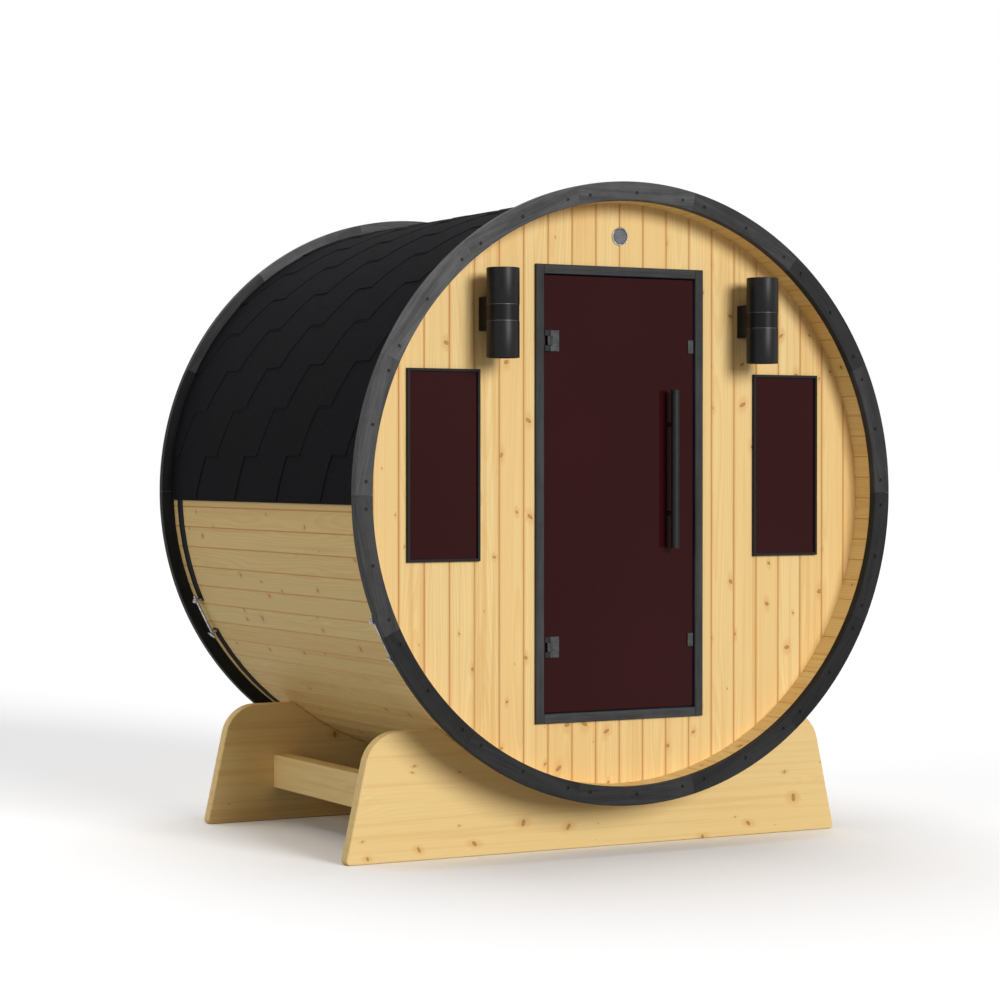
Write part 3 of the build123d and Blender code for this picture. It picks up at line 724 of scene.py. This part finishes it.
def makeRing(name, node, outward, faceY, seed, stainAndLight, s):
    turn = 2 * math.pi / s["segments"]
    low = (drumInner, min(faceY, faceY - outward * s["thick"]))
    high = (ringOuter, max(faceY, faceY - outward * s["thick"]))
    c, d = s["chamfer"], s["innerChamfer"]
    section = chamfered(low, high, (c, c, d, d) if outward < 0 else (d, d, c, c))
    bm = bmesh.new()
    rings = []
    for i in range(s["steps"] + 1):
        share = i / s["steps"]
        ring = []
        for radius, y in section:
            end = turn / 2 - s["joint"] / 2 / radius
            ring.append(around(radius, -end + 2 * end * share, y))
        rings.append(ring)
    loft(bm, rings)
    blank = meshObject("ringBlank", bm)
    spin = {"Count": s["segments"], "First Angle": turn / 2, "Step": turn, "Centre": drumCentre}
    whole = applyTree(spinTree, name + "Whole", blank, "ringStain", spin)
    # countersinks, cut with cones
    cones, heads = bmesh.new(), bmesh.new()
    deep = s["sinkDeep"]
    for angle in (-turn / 2 + s["screwFromJoint"], 0.0, turn / 2 - s["screwFromJoint"]):
        spot = Vector(around(s["screwRadius"], angle, faceY))
        lathe(cones, [(0, outward * s["over"]), (s["sinkTop"], outward * s["over"]),
                      (s["sinkBottom"], -outward * deep), (0, -outward * deep)], spot, "Y", 12)
        head = [(radius, -outward * (deep - s["seat"] - rise)) for radius, rise in s["head"]]
        lathe(heads, head, spot, "Y", 10)
    coneBlank, headBlank = meshObject("coneBlank", cones), meshObject("headBlank", heads)
    coneRow = applyTree(spinTree, "cones", coneBlank, "ringStain", spin)
    # screw heads coloured near black as painted shade of their countersinks
    screws = applyTree(spinTree, name + "Screws", headBlank, "screwBlack", spin)
    ring = cut(name, whole, coneRow, "DIFFERENCE")
    drop(blank, whole, coneBlank, headBlank, coneRow)
    deepness, angle, radius = polarOf(ring)
    board = np.floor(angle / turn) % s["segments"]
    off = (angle - (board + 0.5) * turn + math.pi) % (2 * math.pi) - math.pi
    along, across = radius * np.sin(off), radius * np.cos(off) - drumInner
    # each segment's tone holds its stain together with painted light and shade
    storeGrain(ring, board, along, across, deepness, s["grainHalf"], seed, stainAndLight)
    finished(ring, "drum", "stained_ring", node)
    finished(screws, "drum", "zinc_steel")
    print("ring made:", name)


makeRing("frontRing", "front_ring", -1, frontFace, 21, ringSettings["frontStainAndLight"], ringSettings)
makeRing("backRing", "back_ring", 1, backFace, 22, ringSettings["backStainAndLight"], ringSettings)

# roof: felt, a starter strip along each eave, and courses of hexagonal tabs on each side
# the lowest course starts at firstArc, counted round the felt from the height of the axis, and the
# middle of its first tab is at firstPlace, counted from the front face
roofSettings = {
    "feltInner": 0.9112, "feltOuter": 0.9155, "eave": 0.0285, "front": 0.028, "back": 1.504, "steps": 90,
    "thick": 0.0019, "lift": 0.0028, "reach": 0.300, "exposure": 0.1458, "pitch": 0.3255, "gap": 0.0001,
    "bottom": 0.096, "notch": 0.1455, "shoulder": 0.227, "firstArc": 0.1167 - 0.1458, "shift": 0.0065,
    "firstPlace": 0.190 - 0.3255 * 1.5, "drift": 0.003, "courses": 11, "columns": 7, "ridgeLap": 0.0004,
    "starter": 0.16, "starterInset": 0.0004, "starterDrop": 0.0002, "starterSteps": 12, "tabSteps": 4}


# the flat layout of one tab: X up from the felt, Y along the drum, Z up the roof
def tabBlank(s):
    bm = bmesh.new()
    half, low, shoulder = s["pitch"] / 2 - s["gap"], s["bottom"] / 2, s["shoulder"] / 2
    steps = s["tabSteps"]

    def rise(z):
        return s["gap"] + s["lift"] * (1 - z / s["reach"])

    rows = []
    for i in range(steps + 1):
        z = s["notch"] * i / steps
        wide = low + (shoulder - low) * i / steps
        rows.append([bm.verts.new((rise(z), y, z)) for y in (-wide, wide)])
    for first, second in zip(rows, rows[1:]):
        bm.faces.new((first[0], first[1], second[1], second[0]))
    left, right = rows[-1]
    z = s["notch"]
    last = [bm.verts.new((rise(z), -half, z)), left, right, bm.verts.new((rise(z), half, z))]
    for i in range(1, steps + 1):
        z = s["notch"] + (s["reach"] - s["notch"]) * i / steps
        row = [bm.verts.new((rise(z), y, z)) for y in (-half, -shoulder, shoulder, half)]
        for j in range(3):
            bm.faces.new((last[j], last[j + 1], row[j + 1], row[j]))
        last = row
    top = bmesh.ops.extrude_face_region(bm, geom=bm.faces[:])
    lifted = [v for v in top["geom"] if isinstance(v, bmesh.types.BMVert)]
    bmesh.ops.translate(bm, verts=lifted, vec=(s["thick"], 0, 0))
    return meshObject("tabBlank", bm)


# what lies on the normal's side of a plane is cut off, and the cut closed
def clip(bm, point, normal):
    bmesh.ops.bisect_plane(bm, geom=bm.verts[:] + bm.edges[:] + bm.faces[:], dist=1e-7, plane_co=point,
                           plane_no=normal, clear_outer=True)
    openEdges = [e for e in bm.edges if len(e.link_faces) == 1]
    bmesh.ops.holes_fill(bm, edges=openEdges, sides=0)


def makeTabs(s, ends):
    blank = tabBlank(s)
    tabs = bmesh.new()
    for side in (-1.0, 1.0):
        half = applyTree(courseTree, "half", blank, "roofBitumen", {
            "Courses": s["courses"], "Columns": s["columns"], "Exposure": s["exposure"], "Pitch": s["pitch"],
            "First Arc": s["firstArc"], "First Place": frontFace + s["firstPlace"], "Shift": s["shift"],
            "Drift": s["drift"], "Radius": s["feltOuter"], "Centre Height": axisHeight, "Side": side})
        bm = bmesh.new()
        bm.from_mesh(half.data)
        bmesh.ops.recalc_face_normals(bm, faces=bm.faces)
        clip(bm, (-s["ridgeLap"] * -side, 0, 0), (-side, 0, 0))
        clip(bm, (0, ends[0], 0), (0, -1, 0))
        clip(bm, (0, ends[1], 0), (0, 1, 0))
        mesh = bpy.data.meshes.new("part")
        bm.to_mesh(mesh)
        bm.free()
        tabs.from_mesh(mesh)
        bpy.data.meshes.remove(mesh)
        drop(half)
    drop(blank)
    return meshObject("roofTabs", tabs, "roofBitumen")


def makeFelt(s, ends):
    bm = bmesh.new()
    inner, outer = s["feltInner"], s["feltOuter"]
    edge = math.asin(s["eave"] / inner)
    rings = []
    for i in range(s["steps"] + 1):
        angle = -edge + (math.pi + 2 * edge) * i / s["steps"]
        rings.append([around(r, angle, y, axisHeight) for r, y in
                      ((inner, ends[0]), (outer, ends[0]), (outer, ends[1]), (inner, ends[1]))])
    loft(bm, rings)
    # the starter strips, wedge-shaped like the foot of a tab
    for side in (-1, 1):
        rings = []
        for i in range(s["starterSteps"] + 1):
            run = s["starter"] * i / s["starterSteps"]
            angle = (s["firstArc"] + s["starterInset"] + run) / outer
            top = outer + s["lift"] * (1 - run / s["reach"]) - s["starterDrop"]
            rings.append([(side * r * math.cos(angle), y, axisHeight + r * math.sin(angle))
                          for r, y in ((outer, ends[0]), (top, ends[0]), (top, ends[1]), (outer, ends[1]))])
        loft(bm, rings)
    return meshObject("roofFelt", bm, "roofBitumen")


def makeRoof(s):
    ends = (frontFace + s["front"], frontFace + s["back"])
    tabs = makeTabs(s, ends)
    finished(makeFelt(s, ends), "drum", "bitumen_shingle", "roof_shingles")
    finished(tabs, "drum", "bitumen_shingle")
    print("roof made:", len(tabs.data.polygons), "faces in the tabs")


makeRoof(roofSettings)

# end walls: upright boards, cut to the outline of each wall piece
boardSettings = {
    "pitch": 0.0843, "gap": 0.0003, "groove": 0.0018, "count": 22, "over": 0.00001, "spare": 0.05,
    "seed": 30}


def makeWall(name, node, s, seed):
    low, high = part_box(node)
    bm = bmesh.new()
    half = s["pitch"] / 2 - s["gap"] / 2
    g = s["groove"]
    section = chamfered((-half, low.y - s["over"]), (half, high.y + s["over"]), (g, g, g, g))
    loft(bm, [[(x, y, z) for x, y in section] for z in (low.z - s["spare"], high.z + s["spare"])])
    blank = meshObject("boardBlank", bm)
    first = -(s["count"] - 1) / 2 * s["pitch"]
    row = applyTree(rowTree, "boards", blank, "wallPine",
                    {"Count": s["count"], "First": (first, 0, 0), "Offset": (s["pitch"], 0, 0)})
    shape = meshObject("outline", mergedCopy(node), "wallPine", recalc=False)
    wall = cut(name, row, shape, "INTERSECT")
    drop(blank, row, shape)
    points = pointsOf(wall)
    board = np.floor(points[:, 0] / s["pitch"])
    across = points[:, 0] - (board + 0.5) * s["pitch"]
    storeGrain(wall, board, points[:, 2], across, points[:, 1] - low.y, s["pitch"] / 2, seed)
    finished(wall, "drum", "wall_pine", node)


for node, name in (
        ("front_wall_left", "wallLeft"), ("front_wall_right", "wallRight"), ("front_wall_top", "wallTop"),
        ("front_wall_bottom", "wallBottom"), ("back_wall", "wallBack")):
    makeWall(name, node, boardSettings, boardSettings["seed"] + len(node))
print("walls made")

# solid wooden members, eased and given their grain
memberSettings = {
    "jambLeft": ("door_jamb_left", 0.0015, "frameStain", "stained_frame", "Z"),
    "jambRight": ("door_jamb_right", 0.0015, "frameStain", "stained_frame", "Z"),
    "doorHead": ("door_head", 0.0015, "frameStain", "stained_frame", "X"),
    "doorSill": ("door_sill", 0.0015, "frameStain", "stained_frame", "X"),
    "cradleFront": ("cradle_front", 0.0025, "cradlePine", "cradle_pine", "X"),
    "cradleBack": ("cradle_back", 0.0025, "cradlePine", "cradle_pine", "X"),
    "cradleBeams": ("cradle_beams", 0.003, "cradlePine", "cradle_pine", "Y"),
    "floorBoards": ("floor_boards", 0.002, "floorPine", "floor_pine", "Y"),
    "floorBearers": ("floor_bearers", 0.002, "floorPine", "floor_pine", "X")}
floorSettings = {"boards": 10, "boardGap": 0.006, "bearerPitch": 0.4}


# which board of a member each point is in, for the members of more than one board
def boardsIn(name, points, low, high, s):
    if name == "cradleBeams":
        return points[:, 0] > 0
    if name == "floorBoards":
        return np.floor((points[:, 0] - low.x) / ((high.x - low.x + s["boardGap"]) / s["boards"]))
    if name == "floorBearers":
        return np.round((points[:, 1] - points[:, 1].min()) / s["bearerPitch"])
    return np.zeros(len(points))


def makeMember(name, node, bevel, finish, slot, axis, seed):
    piece = eased(node, name, bevel, finish)
    points = pointsOf(piece)
    low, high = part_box(node)
    along = "XYZ".index(axis)
    rest = [i for i in range(3) if i != along]
    size = [high[i] - low[i] for i in rest]
    wide, deep = (rest[0], rest[1]) if size[0] > size[1] else (rest[1], rest[0])
    middle = (low[wide] + high[wide]) / 2
    half = (high[wide] - low[wide]) / 2
    board = boardsIn(name, points, low, high, floorSettings)
    across = points[:, wide] - middle
    storeGrain(piece, board, points[:, along], across, points[:, deep] - low[deep], half, seed)
    finished(piece, "drum", slot, node)


for seed, (name, values) in enumerate(memberSettings.items(), 41):
    makeMember(name, *values, seed)
print("frame, cradles and floor made")

# window frames: four mitred bars each
windowSettings = {"member": 0.0085, "chamfer": 0.0012, "gap": 0.0002, "grainHalf": 0.005}


def makeWindow(name, node, s, seed):
    low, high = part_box(node)
    c = s["chamfer"]
    section = chamfered((0, low.y), (s["member"], high.y), (c, c, 0, 0))  # inset from the outside, depth
    corners = [(low.x, low.z, 1, 1), (high.x, low.z, -1, 1), (high.x, high.z, -1, -1), (low.x, high.z, 1, -1)]
    bm = bmesh.new()
    for (x0, z0, a0, b0), (x1, z1, a1, b1) in zip(corners, corners[1:] + corners[:1]):
        run = Vector((x1 - x0, 0, z1 - z0)).normalized() * s["gap"] / 2
        start = [Vector((x0 + a0 * t, y, z0 + b0 * t)) + run for t, y in section]
        end = [Vector((x1 + a1 * t, y, z1 + b1 * t)) - run for t, y in section]
        loft(bm, [start, end])
    piece = meshObject(name, bm, "windowStain")
    points = pointsOf(piece)
    x, y, z = points.T
    bars = np.argmin([z - low.z, high.x - x, high.z - z, x - low.x], axis=0)
    flat = bars % 2 == 0
    storeGrain(piece, bars, np.where(flat, x, z), np.where(flat, z, x), y, s["grainHalf"], seed)
    finished(piece, "drum", "stained_frame", node)


makeWindow("windowFrameLeft", "window_frame_left", windowSettings, 51)
makeWindow("windowFrameRight", "window_frame_right", windowSettings, 52)

# wall lamps: a can with a ribbed waist, open at both ends over a recessed lens
# rim and waistEdge: how far inside the can's radius, and how far from its end or from the waist;
# lens: shares of the can's radius, and heights over the recess
lampSettings = {
    "radius": 0.0495, "half": 0.1335, "wall": 0.004, "recess": 0.014, "waist": 0.024, "waistDeep": 0.0015,
    "lip": 0.0008, "rim": ((0.0015, 0), (0.0004, 0.0005), (0, 0.0018)),
    "waistEdge": ((0, 0.0012), (0.0003, 0.0004)),
    "ribs": 19, "ribEnd": 0.0022, "ribInset": 0.0005, "ribFoot": 0.36, "ribTop": 0.2, "sunk": 0.0004,
    "trimOff": 0.0002, "trimHalf": 0.0007, "trimInset": 0.0001,
    "lens": ((0, 0.0032), (0.45, 0.0026), (0.72, 0.0012), (0.8, 0.0002), (0, 0.0002)),
    "block": (0.029, 0.051), "blockEase": 0.0025, "blockFront": 0.035}


def makeLamp(name, node, s):
    low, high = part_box(node)
    centre = Vector(((low.x + high.x) / 2, low.y + s["radius"], (low.z + high.z) / 2))
    r, h, w, d = s["radius"], s["half"], s["waist"], s["waistDeep"]
    bore = r - s["wall"]
    quarter = [(0, h - s["recess"]), (bore, h - s["recess"]), (bore, h - s["lip"]), (bore + s["lip"], h)]
    quarter += [(r - inset, h - under) for inset, under in s["rim"]]
    quarter += [(r - inset, w + up) for inset, up in s["waistEdge"]] + [(r - d, w)]
    profile = quarter + [(radius, -place) for radius, place in quarter[::-1]]
    bm = bmesh.new()
    lathe(bm, profile, centre)
    can = meshObject(name, bm, "lampBlack")
    # ribs in the waist, and the two grey rings that close it
    bm = bmesh.new()
    pitch = 2 * (w - s["ribEnd"]) / (s["ribs"] - 1)
    inner, crest = r - d - s["sunk"], r - s["ribInset"]
    lathe(bm, [(inner, -pitch * s["ribFoot"]), (crest, -pitch * s["ribTop"]), (crest, pitch * s["ribTop"]),
               (inner, pitch * s["ribFoot"])], Vector((0, 0, 0)), closed=True)
    blank = meshObject("ribBlank", bm)
    first = centre - Vector((0, 0, pitch * (s["ribs"] - 1) / 2))
    ribs = applyTree(rowTree, name + "Ribs", blank, "lampBlack",
                     {"Count": s["ribs"], "Offset": (0, 0, pitch), "First": first})
    drop(blank)
    bm = bmesh.new()
    outer, t = r - s["trimInset"], s["trimHalf"]
    for place in (-w - s["trimOff"], w + s["trimOff"]):
        lathe(bm, [(inner, place - t), (outer, place - t), (outer, place + t), (inner, place + t)],
              centre, closed=True)
    trims = meshObject(name + "Trims", bm, "trimSteel")
    # lenses at both ends
    bm = bmesh.new()
    for up in (-1, 1):
        base = up * (h - s["recess"])
        lathe(bm, [(r * share, base + up * rise) for share, rise in s["lens"]], centre, steps=32)
    lenses = meshObject(name + "Lenses", bm, "lensWhite")
    # the block that carries the can
    bm = bmesh.new()
    bx, bz = s["block"]
    e = s["blockEase"]
    section = chamfered((-bx, -bz), (bx, bz), (e, e, e, e))
    ends = (centre.y + s["blockFront"], high.y)
    loft(bm, [[(centre.x + x, y, centre.z + z) for x, z in section] for y in ends])
    block = meshObject(name + "Bracket", bm, "lampBlack")
    finished(can, "drum", "lamp_black", node)
    for piece in (ribs, trims, lenses, block):
        finished(piece, "drum", "lamp_black")


makeLamp("lampLeft", "lamp_left", lampSettings)
makeLamp("lampRight", "lamp_right", lampSettings)
print("windows and lamps made")

# vent: a turned bright rim round a perforated plate
# the lips: how far into the metal from the bore or from the edge, and how deep from the front
ventSettings = {
    "rimWidth": 0.004, "boreLip": ((0, 0.0016), (0.0008, 0.0004)),
    "edgeLip": ((0.0022, 0), (0.0008, 0.0008), (0, 0.0024)), "backThick": 0.0004, "backLap": 0.0002,
    "plateReach": 0.0232, "plateDeep": 0.0032, "dish": -0.0012, "pitch": 0.0056, "hole": 0.0019,
    "plate": 0.0006, "rows": 12, "corners": 12}


# one hexagonal cell with a round hole
def cellBlank(s):
    bm = bmesh.new()
    rings = []
    for depth in (0.0, s["plate"]):
        hexagon, hole = [], []
        for i in range(s["corners"]):
            angle = 2 * math.pi * i / s["corners"]
            cell = s["pitch"] / 2 / math.cos((angle + math.pi / 6) % (math.pi / 3) - math.pi / 6)
            hexagon.append(bm.verts.new(around(cell, angle, depth)))
            hole.append(bm.verts.new(around(s["hole"], angle, depth)))
        rings.append((hexagon, hole))
    (h0, c0), (h1, c1) = rings
    for i in range(s["corners"]):
        j = (i + 1) % s["corners"]
        for a, b in ((h0, c0), (h1, c1), (h0, h1), (c0, c1)):
            bm.faces.new((a[i], a[j], b[j], b[i]))
    return meshObject("cellBlank", bm)


def makeVent(s):
    low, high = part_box("vent_grille")
    radius = (high.x - low.x) / 2
    bore = radius - s["rimWidth"]
    centre = Vector(((low.x + high.x) / 2, 0, (low.z + high.z) / 2))
    bm = bmesh.new()
    profile = [(bore, high.y)] + [(bore + inset, low.y + deep) for inset, deep in s["boreLip"]]
    profile += [(radius - inset, low.y + deep) for inset, deep in s["edgeLip"]] + [(radius, high.y)]
    lathe(bm, profile, centre, "Y", 64, closed=True)
    rim = meshObject("ventRim", bm, "brightRim")
    # a black disc behind the plate: painted shade, the dark seen through the plate's holes
    bm = bmesh.new()
    face, lap = high.y - s["backThick"], bore + s["backLap"]
    lathe(bm, [(0, face), (lap, face), (lap, high.y), (0, high.y)], centre, "Y", 48)
    back = meshObject("ventBack", bm, "handleBlack")
    blank = cellBlank(s)
    plate = applyTree(sieveTree, "ventPlate", blank, "sieveSteel", {
        "Rows": s["rows"], "Pitch": s["pitch"], "Reach": s["plateReach"], "Dish": s["dish"],
        "Centre": (centre.x, low.y + s["plateDeep"], centre.z)})
    drop(blank)
    finished(rim, "drum", "vent_metal", "vent_grille")
    finished(back, "drum", "vent_metal")
    finished(plate, "drum", "vent_metal")


makeVent(ventSettings)

# door furniture, eased from the nodes
for node, name, bevel, finish, body, slot in (
        ("hinge_clamps", "hingeClamps", 0.0007, "hingeGrey", "door", "hinge_metal"),
        # the leaves take the darker copy, painted shade of the gap by the jamb
        ("hinge_leaves", "hingeLeaves", 0.0005, "hingeDark", "drum", "hinge_metal"),
        ("catch_plates", "catchPlates", 0.0006, "hingeGrey", "door", "hinge_metal"),
        ("pull_handle", "pullHandle", 0.002, "handleBlack", "door", "handle_black")):
    finished(eased(node, name, bevel, finish), body, slot, node)

# nodes that stay as they are, with a better finish
for node, finish in (
        ("front_strap", "strapBlack"), ("back_strap", "strapBlack"), ("strap_tensioners", "zincPlate"),
        ("door_glass", "doorTint"), ("window_glass_left", "windowTint"),
        ("window_glass_right", "windowTint")):
    dress(node, finish)
print("furniture made")


# 1 where a ray shows a surface to the camera, straight, in a reflection or through glass
def seenOf(tree):
    rays = add(tree, "ShaderNodeLightPath").outputs
    bent = mathOf(tree, "MAXIMUM", rays["Is Glossy Ray"], rays["Is Transmission Ray"])
    return mathOf(tree, "MAXIMUM", rays["Is Camera Ray"], bent)


# pale floor: white to the camera, and duller in the light that it throws back
floorLook = {
    "seen": (1.05, 1.05, 1.06, 1.0), "bounced": (0.29, 0.29, 0.29, 1.0), "half": 60.0, "drop": 0.0005}


def makeFloor(s):
    tree, shader = newMaterial("paleFloor")
    tree.nodes.remove(shader)
    colour = mixOf(tree, seenOf(tree), s["bounced"], s["seen"])
    diffuse = add(tree, "ShaderNodeBsdfDiffuse", {"Color": colour}).outputs[0]
    plug(tree, diffuse, tree.nodes["Material Output"].inputs[0])
    bm = bmesh.new()
    corners = ((-1, -1), (1, -1), (1, 1), (-1, 1))
    bm.faces.new([bm.verts.new((x * s["half"], y * s["half"], -s["drop"])) for x, y in corners])
    meshObject("paleFloor", bm, "paleFloor", recalc=False, smooth=0)


makeFloor(floorLook)

# soft light from the front right, weaker from the left, one from above and a little behind, whose
# shadow lies in front, and an even white surround that gives "ambient" of its light
lightSettings = {"keyLight": {"towards": (0.19, -1.0, 0.31), "strength": 2.42, "angle": 25.0},
                 "sideLight": {"towards": (-1.0, -0.12, 0.22), "strength": 0.85, "angle": 40.0},
                 "topLight": {"towards": (0.05, 0.35, 1.0), "strength": 1.8, "angle": 60.0}}
ambient = 0.16


def makeSun(name, s):
    sunData = bpy.data.lights.new(name, "SUN")
    sunData.energy = s["strength"]
    sunData.angle = math.radians(s["angle"])
    sun = bpy.data.objects.new(name, sunData)
    sun.rotation_euler = Vector(s["towards"]).to_track_quat("Z", "Y").to_euler()
    sun.visible_glossy = name == "keyLight"
    scene.collection.objects.link(sun)


for name, values in lightSettings.items():
    makeSun(name, values)
world = bpy.data.worlds.new("whiteSurround")
scene.world = world
world.use_nodes = True
level = {0: seenOf(world.node_tree), 3: ambient, 4: 1.0}
level = add(world.node_tree, "ShaderNodeMapRange", level).outputs[0]
backdrop = world.node_tree.nodes["Background"]
backdrop.inputs["Color"].default_value = (1.0, 1.0, 1.0, 1.0)
plug(world.node_tree, level, backdrop.inputs["Strength"])
scene.view_settings.view_transform = "Standard"

# the photograph's camera
cameraSettings = {"place": (-4.2841, -7.72945, 1.1849), "down": 0.720, "aside": 28.603, "lens": 96.74}
cameraData = bpy.data.cameras.new("camera")
cameraData.lens = cameraSettings["lens"]
cameraData.sensor_width = 36.0
cameraData.clip_end = 200.0
camera = bpy.data.objects.new("camera", cameraData)
camera.location = cameraSettings["place"]
pitch, turn = 90 - cameraSettings["down"], -cameraSettings["aside"]
camera.rotation_euler = (math.radians(pitch), 0.0, math.radians(turn))
scene.collection.objects.link(camera)
scene.camera = camera
print("floor, light and camera set")
